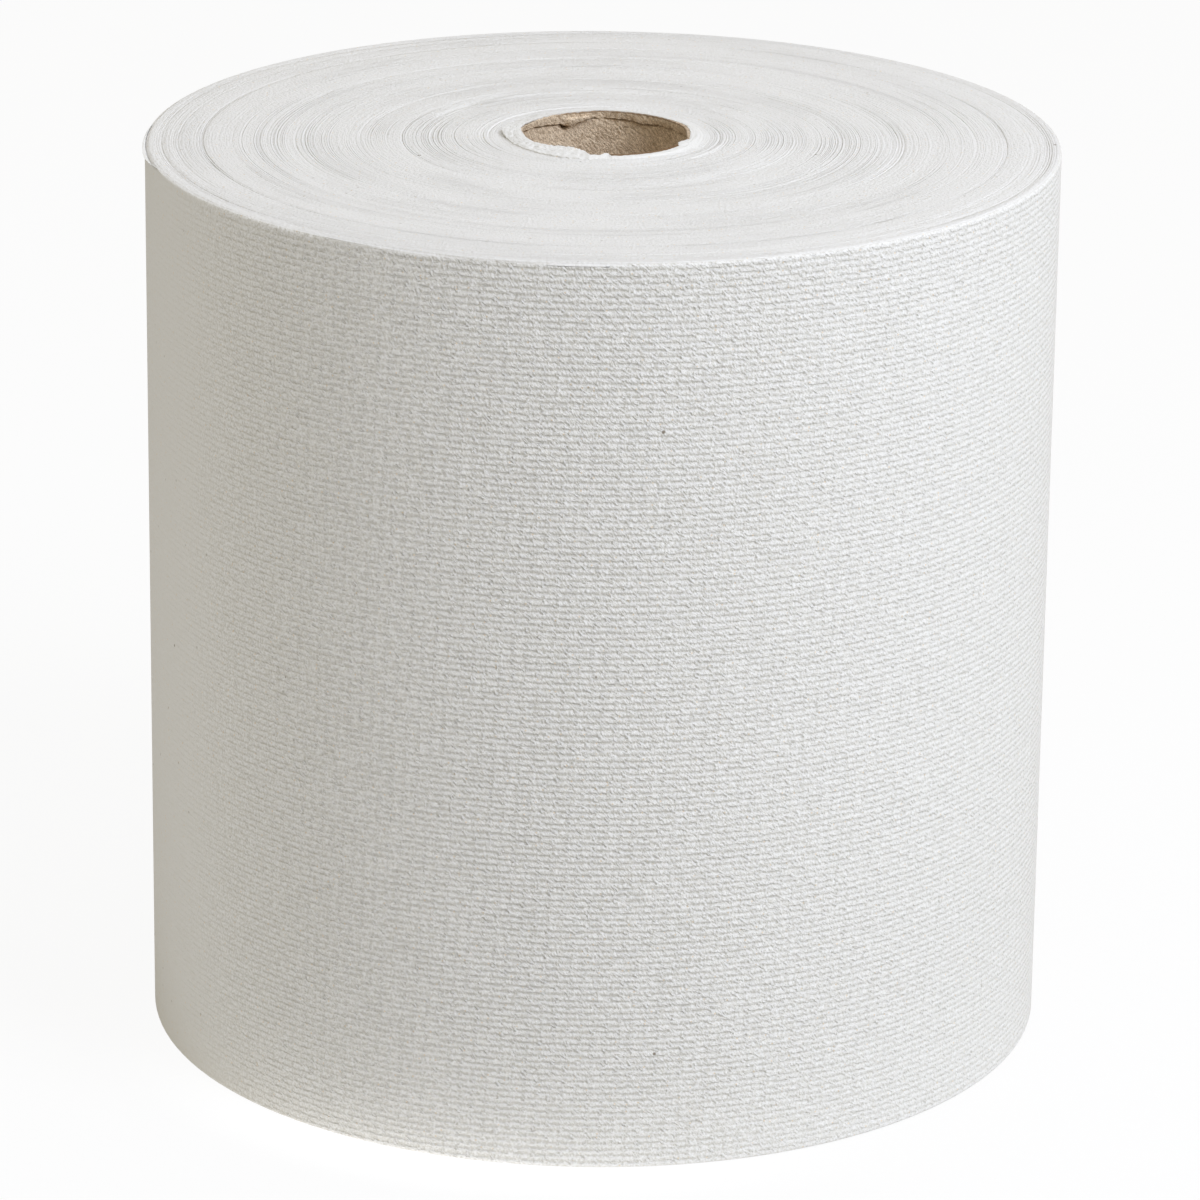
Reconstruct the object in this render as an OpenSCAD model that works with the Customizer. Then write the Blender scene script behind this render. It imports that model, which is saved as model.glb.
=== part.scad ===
// Roll of embossed paper towel, hard wound on a paperboard core.
// The roll stands on one end: Z runs up the core and the origin is at the
// middle of the lower end. Lengths are in millimetres.

/* [Paper web] */
// Width of the web, which is the height of the standing roll
web_width = 203.2; // [150:0.1:280]
// Outside diameter of the wound roll
roll_diameter = 202.4; // [140:0.1:300]
// Thickness of the sheet, which is the height of the step at its free end
sheet_thickness = 0.2; // [0.1:0.02:0.5]
// Radius of the soft edge between the side and each end
rim_radius = 1.2; // [0.4:0.1:3]

/* [Turns at the ends] */
// Width of the level band of outer turns that the roll stands on
stand_width = 6.4; // [4:0.1:12]
// Mean width of the bands of turns that lie level with each other
band_width = 6.6; // [4:0.1:12]
// Greatest height of a band above the outer turns
band_height = 0.3; // [0.05:0.05:1]
// Width of the slope between one band and the next
band_slope = 0.35; // [0.1:0.05:0.6]
// Number that picks the widths and heights of the bands
band_choice = 11; // [1:1:50]
// Height that the turns next to the core have slipped upwards
dome_height = 0.6; // [0:0.1:3]
// Distance from the collar over which that slip fades out
dome_reach = 26; // [5:1:35]

/* [Core] */
// Inside diameter of the paperboard core
core_bore = 38.1; // [25:0.1:50]
// Wall of the core
core_wall = 1; // [0.5:0.1:3]
// Height that the core has slipped out of the upper end
core_slip = 1.5; // [0:0.1:5]
// Width of the softened edge at each end of the core
core_edge = 0.25; // [0.05:0.05:0.4]
// Gap between the core and the first turn
wind_clearance = 0.05; // [0.02:0.01:0.2]

/* [Collar of loose inner turns] */
// Height that the innermost turns are drawn up above the turns around them
collar_height = 1.05; // [0.2:0.05:3]
// Least width of the collar at its foot
collar_foot = 2; // [1.2:0.1:4]
// Least width of the collar at its top
collar_top = 0.3; // [0.2:0.1:1]
// Distance that the collar leans to the left
collar_left = 0.5; // [0:0.1:1.2]
// Distance that the collar leans to the front
collar_front = 0.3; // [0:0.1:1.2]

/* [Hidden] */

white_paper = [0.93, 0.925, 0.9];
kraft_board = [0.7, 0.57, 0.43];
round_faces = 96;
rim_steps = 3;
seam_overlap = 1;

core_r = core_bore / 2;
core_outer_r = core_r + core_wall;
web_bore_r = core_outer_r + wind_clearance;
roll_r = roll_diameter / 2;

// The collar leans within a level band of its own, which ends at bands_r
collar_lean = norm([collar_left, collar_front]);
foot_r = web_bore_r + collar_lean + collar_foot;
bands_r = foot_r + collar_lean + band_slope;

// The outer band begins at stand_r. The spiral of outer turns joins the
// round inner turns at seam_r, halfway across it.
stand_r = roll_r - stand_width;
seam_r = stand_r + stand_width / 2;

// The bands share the space between the collar and the outer turns in
// uneven widths.
band_count = floor((stand_r - bands_r) / band_width);
band_shares = rands(0.5, 1.5, band_count, band_choice);
band_levels = rands(0, band_height, band_count, band_choice + 1);
share_sum = sum_to(band_shares, band_count);

// Sum of the first count values of a list
function sum_to(values, count) =
    count == 0 ? 0 : values[count - 1] + sum_to(values, count - 1);

// Radius where band i begins
function band_r(i) =
    bands_r + (stand_r - bands_r) * sum_to(band_shares, i) / share_sum;

// Slip of the turns at radius r: full by the collar, none past dome_reach
function dome(r) =
    let (part = min(1, (r - bands_r) / dome_reach))
    dome_height * (1 + cos(180 * part)) / 2;

// The two corners of band i on an end that lies at height base
function band(i, base) =
    let (inner = band_r(i) + band_slope / 2,
         outer = band_r(i + 1) - band_slope / 2)
    [[inner, base + band_levels[i] + dome(inner)],
     [outer, base + band_levels[i] + dome(outer)]];

// All corners of the bands from the collar outwards
function bands(base) = [for (i = [0 : band_count - 1]) each band(i, base)];

// The same list of points from its last to its first
function reversed(points) =
    [for (i = [len(points) - 1 : -1 : 0]) points[i]];

// Quarter circle about [r, z] from angle start, in rim_steps chords
function rim_arc(r, z, start) =
    [for (i = [0 : rim_steps])
        let (angle = start + 90 * i / rim_steps)
        [r + rim_radius * cos(angle), z + rim_radius * sin(angle)]];

// Half section of the turns inside the outer band, before the core's bore is
// cut. Every turn is as wide as the web, so the lower end slips inwards where
// the upper end stands out.
module inner_section() {
    slope_end_r = stand_r + band_slope / 2;
    end_r = seam_r + seam_overlap;
    polygon(concat(
        [[0, dome_height + collar_height],
         [core_r, dome_height + collar_height],
         [foot_r, dome_height],
         [bands_r, dome_height]],
        bands(0),
        [[slope_end_r, 0],
         [end_r, 0],
         [end_r, web_width],
         [slope_end_r, web_width]],
        reversed(bands(web_width)),
        [[bands_r, web_width + dome_height],
         [0, web_width + dome_height]]));
}

// Half section of the outer band with its two soft rims, out to radius r
module outer_section(r) {
    start_r = seam_r - seam_overlap;
    polygon(concat(
        [[start_r, 0]],
        rim_arc(r - rim_radius, rim_radius, -90),
        rim_arc(r - rim_radius, web_width - rim_radius, 0),
        [[start_r, web_width]]));
}

// The outer turns as a spiral of two half rounds. They meet in front, and
// at the back the free end of the sheet leaves a step of one thickness.
module outer_turns() {
    rotate([0, 0, 90])
        rotate_extrude(angle = 180, $fn = round_faces)
            outer_section(roll_r);
    translate([0, -sheet_thickness / 2, 0])
        rotate([0, 0, -90])
            rotate_extrude(angle = 180, $fn = round_faces)
                outer_section(roll_r - sheet_thickness / 2);
}

// The innermost turns, crumpled and drawn up round the core
module collar() {
    foot_sink = dome_height + band_height;
    translate([-collar_left, -collar_front, web_width - foot_sink])
        cylinder(h = foot_sink + dome_height + collar_height,
                 r1 = foot_r, r2 = web_bore_r + collar_lean + collar_top,
                 $fn = round_faces);
}

module paper_web() {
    color(white_paper)
        difference() {
            union() {
                rotate_extrude($fn = round_faces)
                    inner_section();
                outer_turns();
                collar();
            }
            translate([0, 0, -1])
                cylinder(h = web_width + collar_height + dome_height + 2,
                         r = web_bore_r, $fn = round_faces);
        }
}

module core() {
    color(kraft_board)
        translate([0, 0, core_slip])
            rotate_extrude($fn = round_faces)
                polygon([[core_r, 0],
                         [core_outer_r - core_edge, 0],
                         [core_outer_r, core_edge],
                         [core_outer_r, web_width - core_edge],
                         [core_outer_r - core_edge, web_width],
                         [core_r, web_width]]);
}

core();
paper_web();
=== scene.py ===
"""Looks of a hard wound paper towel roll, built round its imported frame.

The frame holds two nodes: the paperboard core and the paper web. Lengths are
metres. The roll stands on its lower end at the origin with +Z up the core, the
camera looks along +Y, and the free end of the sheet lies at the back.
"""

from __future__ import annotations

import logging
import math
from dataclasses import dataclass, field
from enum import Enum
from typing import Any

import bpy
import numpy as np
from mathutils import Matrix, Vector
from mathutils.bvhtree import BVHTree


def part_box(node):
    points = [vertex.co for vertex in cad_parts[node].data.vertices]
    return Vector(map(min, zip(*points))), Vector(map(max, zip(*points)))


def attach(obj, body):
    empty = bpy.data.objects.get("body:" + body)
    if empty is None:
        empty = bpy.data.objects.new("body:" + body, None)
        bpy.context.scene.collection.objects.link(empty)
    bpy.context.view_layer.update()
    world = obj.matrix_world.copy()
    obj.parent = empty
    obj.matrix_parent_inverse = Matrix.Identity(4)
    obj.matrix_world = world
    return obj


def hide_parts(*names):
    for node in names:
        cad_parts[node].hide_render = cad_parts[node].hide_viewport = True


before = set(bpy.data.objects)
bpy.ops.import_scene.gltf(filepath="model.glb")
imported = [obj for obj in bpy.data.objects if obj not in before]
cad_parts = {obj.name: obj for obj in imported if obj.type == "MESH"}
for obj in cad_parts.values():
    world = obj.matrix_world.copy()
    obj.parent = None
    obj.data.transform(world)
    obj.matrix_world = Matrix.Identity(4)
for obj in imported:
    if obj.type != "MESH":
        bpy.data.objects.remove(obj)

LOG = logging.getLogger("paper_roll")
MM = 0.001
TURN = 2 * math.pi
# Mesh attribute of the core: painted shade in its crease, hole and upper edge where positive, and
# the pale torn flap where negative.
SHADE_AND_FLAP_MARK = "torn"

CORE_NODE = "core"
WEB_NODE = "paper_web"
ROOT = "root"


class Slot(Enum):
    """Material slots of the record."""

    BOARD = "kraft_board"
    PAPER = "white_paper"


# Shapes round the roll


@dataclass(frozen=True)
class Stops:
    """Values given at angles round the roll, joined by straight runs.

    Attributes:
        marks: angles in degrees, from +X (the right) through +Y (the back),
            each with the value there.
    """

    marks: tuple[tuple[float, float], ...]

    def at(self, angle: np.ndarray) -> np.ndarray:
        """Reads the values at some angles.

        Args:
            angle: angles in radians.

        Returns:
            One value for each angle.
        """
        places = [mark[0] for mark in self.marks]
        values = [mark[1] for mark in self.marks]
        return np.interp(np.degrees(angle) % 360, places, values, period=360)


@dataclass(frozen=True)
class Ripple:
    """Irregular waves that close on themselves round the roll.

    Attributes:
        seed: picks the waves.
        least: fewest waves round the roll.
        most: most waves round the roll.
        along: most waves for each metre of the second coordinate.
        waves: how many waves are summed.
    """

    seed: int
    least: int
    most: int
    along: float = 0.0
    waves: int = 16

    def at(self, angle: np.ndarray, along: np.ndarray | float = 0.0) -> np.ndarray:
        """Sums the waves.

        Args:
            angle: angles in radians.
            along: second coordinate in metres.

        Returns:
            Values of mean zero that mostly lie between -1 and 1.
        """
        draw = np.random.default_rng(self.seed)
        total = np.zeros(np.broadcast(angle, along).shape)
        for _ in range(self.waves):
            turns = int(draw.integers(self.least, self.most + 1))
            rate = draw.uniform(-self.along, self.along) * TURN
            phase = draw.uniform(0, TURN)
            total = total + np.cos(turns * angle + rate * along + phase)
        return total / math.sqrt(self.waves)


def ease(value: np.ndarray, start: float, end: float) -> np.ndarray:
    """Rises smoothly from 0 at start to 1 at end.

    Args:
        value: values to read.
        start: value at which the result leaves 0.
        end: value at which the result reaches 1.

    Returns:
        The eased share for each value.
    """
    share = np.clip((value - start) / (end - start), 0, 1)
    return share * share * (3 - 2 * share)


def hump(value: np.ndarray, middle: np.ndarray | float, half: float) -> np.ndarray:
    """Bell shape that is 1 at middle and falls off over half.

    Args:
        value: values to read.
        middle: where the bell is highest.
        half: width over which it falls to a third.

    Returns:
        The height of the bell for each value.
    """
    return np.exp(-(((value - middle) / half) ** 2))


def around(radius: np.ndarray, angle: np.ndarray, height: np.ndarray) -> np.ndarray:
    """Turns round coordinates into points.

    Args:
        radius: distances from the axis.
        angle: angles in radians.
        height: heights.

    Returns:
        Points, with x, y and z along the last axis.
    """
    radius, angle, height = np.broadcast_arrays(radius, angle, height)
    return np.stack([radius * np.cos(angle), radius * np.sin(angle), height], -1)


def ring_mesh(name: str, points: np.ndarray, joined: bool) -> bpy.types.Object:
    """Makes a closed skin from a profile that is carried round the roll.

    The profile runs anticlockwise in the half plane of radius and height, and
    the columns run anticlockwise from above, so that the faces look outwards.

    Args:
        name: name of the piece.
        points: rows along the profile, by columns round the roll, by x, y, z.
        joined: whether the last column meets the first. Otherwise each of the
            two ends is closed by one face.

    Returns:
        The piece, linked to the scene.
    """
    rows, columns = points.shape[:2]
    index = np.arange(rows * columns).reshape(rows, columns)
    above = np.roll(index, -1, axis=0)
    if joined:
        beside, above_beside = np.roll(index, -1, axis=1), np.roll(above, -1, axis=1)
    else:
        index, beside = index[:, :-1], index[:, 1:]
        above, above_beside = above[:, :-1], above[:, 1:]
    faces = np.stack([index, beside, above_beside, above], -1).reshape(-1, 4).tolist()
    if not joined:
        faces.append([row * columns for row in range(rows)])
        faces.append([row * columns + columns - 1 for row in reversed(range(rows))])
    mesh = bpy.data.meshes.new(name)
    mesh.from_pydata(points.reshape(-1, 3).tolist(), [], faces)
    mesh.shade_smooth()
    mesh.set_sharp_from_angle(angle=math.radians(50))
    piece = bpy.data.objects.new(name, mesh)
    bpy.context.scene.collection.objects.link(piece)
    return piece


# Shader maths


class Wire:
    """A shader socket that takes part in Python expressions."""

    def __init__(self, shader: Shader, socket: bpy.types.NodeSocket) -> None:
        """Wraps one output socket of a shader."""
        self.shader = shader
        self.socket = socket

    def _math(self, operation: str, *values: Wire | float) -> Wire:
        """Adds a Math node on the given values."""
        inputs = dict(enumerate(values))
        return self.shader.node("ShaderNodeMath", {"operation": operation}, inputs)

    def __add__(self, other: Wire | float) -> Wire:
        """self + other."""
        return self._math("ADD", self, other)

    __radd__ = __add__

    def __sub__(self, other: Wire | float) -> Wire:
        """self - other."""
        return self._math("SUBTRACT", self, other)

    def __rsub__(self, other: float) -> Wire:
        """other - self."""
        return self._math("SUBTRACT", other, self)

    def __mul__(self, other: Wire | float) -> Wire:
        """self * other."""
        return self._math("MULTIPLY", self, other)

    __rmul__ = __mul__

    def __truediv__(self, other: Wire | float) -> Wire:
        """self / other."""
        return self._math("DIVIDE", self, other)

    def __rtruediv__(self, other: float) -> Wire:
        """other / self."""
        return self._math("DIVIDE", other, self)

    def floor(self) -> Wire:
        """Whole part, rounded down."""
        return self._math("FLOOR", self)

    def part(self) -> Wire:
        """What is left above the whole part."""
        return self._math("FRACT", self)

    def larger(self, other: Wire | float) -> Wire:
        """The larger of self and other."""
        return self._math("MAXIMUM", self, other)

    def size(self) -> Wire:
        """Absolute value."""
        return self._math("ABSOLUTE", self)

    def atan2(self, other: Wire) -> Wire:
        """Angle whose sine side is self and whose cosine side is other."""
        return self._math("ARCTAN2", self, other)

    def root(self) -> Wire:
        """Square root."""
        return self._math("SQRT", self)

    def bell(self, half: float) -> Wire:
        """Bell shape that is 1 at 0 and falls to a third at half."""
        ratio = self * (1 / half)
        return self._math("EXPONENT", ratio * ratio * -1.0)

    def ease(self, start: float, end: float) -> Wire:
        """Rises smoothly from 0 at start to 1 at end.

        Args:
            start: value at which the result leaves 0.
            end: value at which the result reaches 1.

        Returns:
            The eased share.
        """
        inputs = {"Value": self, "From Min": start, "From Max": end}
        settings = {"interpolation_type": "SMOOTHSTEP"}
        return self.shader.node("ShaderNodeMapRange", settings, inputs)


class Shader:
    """The node tree of one material, with its main surface shader."""

    def __init__(self, name: str) -> None:
        """Starts a material whose surface is one Principled shader.

        Args:
            name: name of the material.
        """
        self.material = bpy.data.materials.new(name)
        self.material.use_nodes = True
        self.tree = self.material.node_tree
        self.surface = self.tree.nodes["Principled BSDF"]

    def node(
        self,
        kind: str,
        settings: dict[str, Any] | None = None,
        inputs: dict[str | int, Any] | None = None,
        output: str | int = 0,
    ) -> Wire:
        """Adds one node.

        Args:
            kind: type of the node.
            settings: the node's own settings, which are set first.
            inputs: value or wire for each input, by name or number.
            output: which output to return.

        Returns:
            The wire of that output.
        """
        made = self.tree.nodes.new(kind)
        for name, value in (settings or {}).items():
            setattr(made, name, value)
        for name, value in (inputs or {}).items():
            self.feed(made.inputs[name], value)
        return Wire(self, made.outputs[output])

    def feed(self, socket: bpy.types.NodeSocket, value: Any) -> None:
        """Links a wire to an input socket, or sets the socket's own value.

        Args:
            socket: the input.
            value: a wire, or a plain value of the kind that the socket holds.
        """
        if isinstance(value, Wire):
            self.tree.links.new(value.socket, socket)
        else:
            socket.default_value = value

    def set(self, **inputs: Any) -> None:
        """Feeds inputs of the surface shader, with _ for the spaces in names."""
        for name, value in inputs.items():
            self.feed(self.surface.inputs[name.replace("_", " ")], value)

    def place(self) -> tuple[Wire, Wire, Wire]:
        """The x, y and z of the shaded point on the object.

        Returns:
            The three wires, in metres.
        """
        point = self.node("ShaderNodeTexCoord", output="Object")
        return tuple(
            self.node("ShaderNodeSeparateXYZ", inputs={0: point}, output=axis)
            for axis in range(3)
        )

    def vector(self, x: Any, y: Any, z: Any) -> Wire:
        """Joins three values to a vector."""
        return self.node("ShaderNodeCombineXYZ", inputs={0: x, 1: y, 2: z})

    def noise(self, vector: Wire, scale: float, detail: float) -> Wire:
        """Smooth noise that runs from 0 to 1."""
        inputs = {"Vector": vector, "Scale": scale, "Detail": detail}
        return self.node("ShaderNodeTexNoise", inputs=inputs)

    def mix(self, share: Wire, first: Any, second: Any) -> Wire:
        """Blends two colours; a colour is red, green and blue or a wire.

        Args:
            share: 0 where the first colour shows and 1 where the second does.
            first: a colour.
            second: another colour.

        Returns:
            The blended colour.
        """
        colours = [c if isinstance(c, Wire) else (*c, 1.0) for c in (first, second)]
        inputs = {0: share, 6: colours[0], 7: colours[1]}
        return self.node("ShaderNodeMix", {"data_type": "RGBA"}, inputs, output=2)

    def relief(self, height: Wire, deep: float) -> None:
        """Bumps the surface by height, where 1 stands for deep metres."""
        inputs = {"Strength": 1.0, "Distance": deep, "Height": height}
        self.set(Normal=self.node("ShaderNodeBump", inputs=inputs))

    def specks(self, vector: Wire, scale: float, least: float, radius: float) -> Wire:
        """Sparse small dots.

        Args:
            vector: place on the object.
            scale: cells in which a dot may lie, for each metre.
            least: share of the cells that stay empty.
            radius: radius of a dot as a share of a cell.

        Returns:
            A mask that is 1 in the dots.
        """
        settings = {"voronoi_dimensions": "3D", "feature": "F1"}
        inputs = {"Vector": vector, "Scale": scale}
        away = self.node("ShaderNodeTexVoronoi", settings, inputs, output="Distance")
        inside = 1.0 - away.ease(radius * 0.5, radius)
        drawn = self.node("ShaderNodeTexVoronoi", settings, inputs, output="Color")
        chance = self.node("ShaderNodeSeparateColor", inputs={0: drawn})
        return inside * chance.ease(least, least + 0.01)


# Finishes


@dataclass(frozen=True)
class PaperTint:
    """Colours that every face of the towel paper shares.

    Attributes:
        clean: the paper where it has no relief.
        warm: colour of its mottling.
        lit_crest: painted highlight on the crests of a relief.
        shaded_hollow: painted shade in the hollows of a relief.
        speck: dark specks of recycled pulp.
        fleck: tan flecks of recycled pulp.
        mottle_scale: spots of mottling in a metre.
        mottle_amount: share of the mottling that shows.
        large_specks: cells in a metre, share of them that is empty, and size in a cell.
        small_specks: the same for the small specks.
        flecks: the same for the flecks.
    """

    clean: tuple[float, float, float] = (0.81, 0.80, 0.775)
    warm: tuple[float, float, float] = (0.76, 0.72, 0.63)
    lit_crest: tuple[float, float, float] = (0.86, 0.853, 0.835)
    shaded_hollow: tuple[float, float, float] = (0.69, 0.675, 0.63)
    speck: tuple[float, float, float] = (0.22, 0.18, 0.12)
    fleck: tuple[float, float, float] = (0.80, 0.67, 0.50)
    mottle_scale: float = 900.0
    mottle_amount: float = 0.35
    large_specks: tuple[float, float, float] = (150.0, 0.93, 0.075)
    small_specks: tuple[float, float, float] = (400.0, 0.94, 0.16)
    flecks: tuple[float, float, float] = (800.0, 0.80, 0.22)

    def paint(self, shader: Shader, vector: Wire, painted_shade_and_grain: Wire | None = None) -> Wire:
        """Mottled white with sparse specks and flecks, and the painted shade and highlights of a
        relief.

        Args:
            shader: the material's nodes.
            vector: place on the object.
            painted_shade_and_grain: 1 for painted highlight on a relief's crests, 0 for painted
                shade in its hollows, if any.

        Returns:
            The colour.
        """
        cloud = shader.noise(vector, self.mottle_scale, 3.0).ease(0.45, 0.75)
        # painted shade in the hollows and painted highlight on the crests of a relief
        plain = self.clean if painted_shade_and_grain is None else shader.mix(painted_shade_and_grain, self.shaded_hollow, self.lit_crest)
        colour = shader.mix(cloud * self.mottle_amount, plain, self.warm)
        colour = shader.mix(shader.specks(vector, *self.flecks) * 0.75, colour, self.fleck)
        large = shader.specks(vector, *self.large_specks)
        small = shader.specks(vector, *self.small_specks)
        return shader.mix((large * 0.85).larger(small * 0.35), colour, self.speck)

    def dress(self, shader: Shader, vector: Wire, painted_shade_and_grain: Wire | None = None) -> bpy.types.Material:
        """Gives a shader the paper's colour and its dull surface.

        Args:
            shader: the material's nodes.
            vector: place on the object.
            painted_shade_and_grain: 1 for painted highlight on a relief's crests, 0 for painted
                shade in its hollows, if any.

        Returns:
            The finished material.
        """
        colour = self.paint(shader, vector, painted_shade_and_grain)
        shader.set(Base_Color=colour, Roughness=0.95, Specular_IOR_Level=0.15)
        return shader.material


@dataclass(frozen=True)
class EmbossedPaper:
    """The side of the roll: towel paper with staggered, level ribs, and their painted shade and
    highlights.

    A direction is an angle from the front, to the right.

    Attributes:
        radius: radius of the side.
        top: height of the upper end.
        tint: colours of the paper.
        pitch: distance from one rib down to the next.
        rib: length of a rib with the joint at its end.
        stagger: shift from one row to the next, as a share of a rib.
        bend: how far a groove turns down at a joint, as a share of the pitch.
        sway: how far the rows wander, as a share of the pitch.
        deep: depth of the relief.
        margin: plain width along both edges of the sheet.
        grain_scale: spots of grain in a metre.
        flat_at: direction where the relief is pressed flattest.
        flat_reach: angles from there at which it starts to rise and is whole again.
        deep_at: direction where the relief is deepest and its painted shade and highlights
            strongest.
        deep_half: angle over which that falls off.
        worn_at: direction where the relief is a little worn.
        worn_half: angle over which that falls off.
        foot_reach: heights between which the relief grows whole above the foot.
        joint_fade: directions between which the joints grow faint.
        grain_fade: directions between which the grain grows faint.
    """

    radius: float
    top: float
    tint: PaperTint = PaperTint(mottle_amount=0.2)
    pitch: float = 1.44 * MM
    rib: float = 5.65 * MM
    stagger: float = 0.514
    bend: float = 0.34
    sway: float = 0.30
    deep: float = 0.28 * MM
    margin: float = 0.6 * MM
    grain_scale: float = 2000.0
    flat_at: float = math.radians(-80)
    flat_reach: tuple[float, float] = (math.radians(8), math.radians(50))
    deep_at: float = math.radians(-9)
    deep_half: float = math.radians(22)
    worn_at: float = math.radians(80)
    worn_half: float = math.radians(40)
    foot_reach: tuple[float, float] = (-10 * MM, 40 * MM)
    joint_fade: tuple[float, float] = (math.radians(5), math.radians(50))
    grain_fade: tuple[float, float] = (math.radians(10), math.radians(55))

    def build(self) -> bpy.types.Material:
        """Makes the material.

        Returns:
            The finished material.
        """
        shader = Shader("embossed_paper")
        x, y, z = shader.place()
        place = shader.vector(x, y, z)
        turn = x.atan2(y * -1.0)
        length = turn * (self.radius / MM)

        # Row of ribs, and place along a rib
        level = (self.top - z) / self.pitch
        drift = shader.noise(shader.vector(length * 0.45, level * 0.8, 0.0), 1.0, 1.0)
        level = level + (drift - 0.5) * self.sway
        row = (level + 0.5).floor()
        ribs = round(TURN * self.radius / self.rib)
        share = (turn * (ribs / TURN) + row * self.stagger).part()

        # Grooves, their joints and the paper between them
        joint = share.ease(0.0, 0.08) - share.ease(0.2, 0.32)
        joint = joint * (1.3 - turn.ease(*self.joint_fade) * 0.9)
        press = shader.noise(shader.vector(length * 0.4, row * 5.3, 7.0), 1.0, 1.0)
        strength = (press.ease(0.3, 0.62) * 0.3 + 0.69) * (1.0 - joint * 0.3)
        groove = self.grooves(level - row, share) * strength
        stitch = shader.vector(length - level * 0.8, level * 1.3, 3.7)
        ticks = (shader.noise(stitch, 2.0, 1.0) - 0.5) * (joint * 0.4 + 0.9)
        grain = shader.noise(place, self.grain_scale, 2.0) - 0.5
        ledge_highlight = self.ledge_highlight(level) * (1.0 - joint * 0.5)

        # Relief, and its painted shade and highlights, as deep as the turn has been left there
        pressed = self.pressed(turn, z)
        height = (groove * -1.3 + ticks * 1.8) * self.inside(z) * pressed
        shader.relief(height + grain * 0.45, self.deep)
        # painted shade in the grooves and painted highlights on the ledges and ticks, strongest
        # where the relief is deepest; the grain is the paper's own
        shown = pressed * ((turn - self.deep_at).bell(self.deep_half) * 0.75 + 0.35)
        painted_shade_and_grain = (groove * -0.5 + ticks * 0.9 + ledge_highlight * 0.45) * shown + ticks * pressed * 0.5
        fibrous = pressed.ease(0.1, 0.6) * (1.0 - turn.ease(*self.grain_fade) * 0.5)
        painted_shade_and_grain = painted_shade_and_grain + grain * fibrous * 2.6 + 0.55
        return self.tint.dress(shader, place, painted_shade_and_grain.ease(0.0, 1.0))

    def grooves(self, down: Wire, share: Wire) -> Wire:
        """Depth of the grooves, which turn down at each joint.

        Args:
            down: distance below the middle of the nearest groove, in rows.
            share: place along a rib, from 0 to 1.

        Returns:
            1 at the bottom of a groove and 0 between the grooves.
        """
        lead_in = self.cut(down + (1.0 - share.ease(0.12, 0.26)) * self.bend)
        lead_out = self.cut(down - share.ease(0.0, 0.15) * self.bend)
        first = lead_in * share.ease(0.09, 0.15)
        second = lead_out * (1.0 - share.ease(0.13, 0.21))
        return first.larger(second) * (1.0 - down.size().ease(0.40, 0.5))

    def cut(self, distance: Wire) -> Wire:
        """Depth across one groove: a steep wall above and a long one below."""
        above = distance.ease(-0.5, -0.1) * 0.3 + distance.ease(-0.2, 0.12) * 0.7
        return above * (1.0 - distance.ease(0.08, 0.5))

    def ledge_highlight(self, level: Wire) -> Wire:
        """Painted highlight on the strip of each row that catches the light."""
        fall = level.part()
        return fall.ease(0.1, 0.35) - fall.ease(0.5, 0.9)

    def inside(self, z: Wire) -> Wire:
        """0 on the plain margins of the sheet and 1 between them."""
        start, end = 0.2 * self.margin, 1.2 * self.margin
        return (self.top - z).ease(start, end) * z.ease(start, end)

    def pressed(self, turn: Wire, z: Wire) -> Wire:
        """Share of the relief that is left at a direction and a height.

        Args:
            turn: direction on the side.
            z: height.

        Returns:
            The share, where 1 is the whole relief.
        """
        left = (turn - self.flat_at).size().ease(*self.flat_reach) * 0.9 + 0.1
        left = left + (turn - self.deep_at).bell(self.deep_half) * 0.25
        left = left - (turn - self.worn_at).bell(self.worn_half) * 0.3
        return left * (z.ease(*self.foot_reach) * 0.3 + 0.7)


@dataclass(frozen=True)
class CutTurns:
    """The two ends of the roll, where the cut edges of the turns lie.

    Attributes:
        tint: colours of the paper.
        deep: depth of the relief.
        fine_scale: fine lines in a millimetre.
        grain_scale: spots of grain in a metre.
    """

    tint: PaperTint = PaperTint(
        lit_crest=(0.844, 0.837, 0.824), shaded_hollow=(0.767, 0.752, 0.722), mottle_amount=0.15
    )
    deep: float = 0.20 * MM
    fine_scale: float = 2.7
    grain_scale: float = 1500.0

    def build(self) -> bpy.types.Material:
        """Makes the material.

        Returns:
            The finished material.
        """
        shader = Shader("cut_turns")
        x, y, z = shader.place()
        place = shader.vector(x, y, z)
        turn = x.atan2(y * -1.0)
        radius = (x * x + y * y).root() * (1 / MM)

        # Long arcs where the lines show
        aside, ahead = (axis * (1.3 / MM) / radius for axis in (x, y))
        shown = shader.noise(shader.vector(aside, ahead, radius * 0.1), 1.0, 2.0).ease(0.38, 0.62)

        # Lines that stray a little from round, and the fibres across them
        wander = shader.noise(shader.vector(x * 35.0, y * 35.0, 0.0), 0.6, 0.0)
        radius = radius + wander * 1.5
        fine = shader.noise(shader.vector(radius, 0.0, 0.0), self.fine_scale, 1.0) - 0.5
        broad = shader.noise(shader.vector(radius, 3.0, 0.0), 0.8, 1.0) - 0.5
        streak = shader.noise(shader.vector(radius * 2.1, turn * 26.0, 5.0), 1.0, 2.0) - 0.5
        grain = shader.noise(place, self.grain_scale, 4.0) - 0.5
        lines = fine * (shown * 2.0 + 0.8) + broad * 0.1 + streak * 0.6
        height = lines + grain * 1.5
        shader.relief(height, self.deep)
        # painted shade in the hollows of the lines and painted highlight on their ridges, with the
        # paper's grain
        return self.tint.dress(shader, place, height * 0.8 + 0.6)


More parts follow.
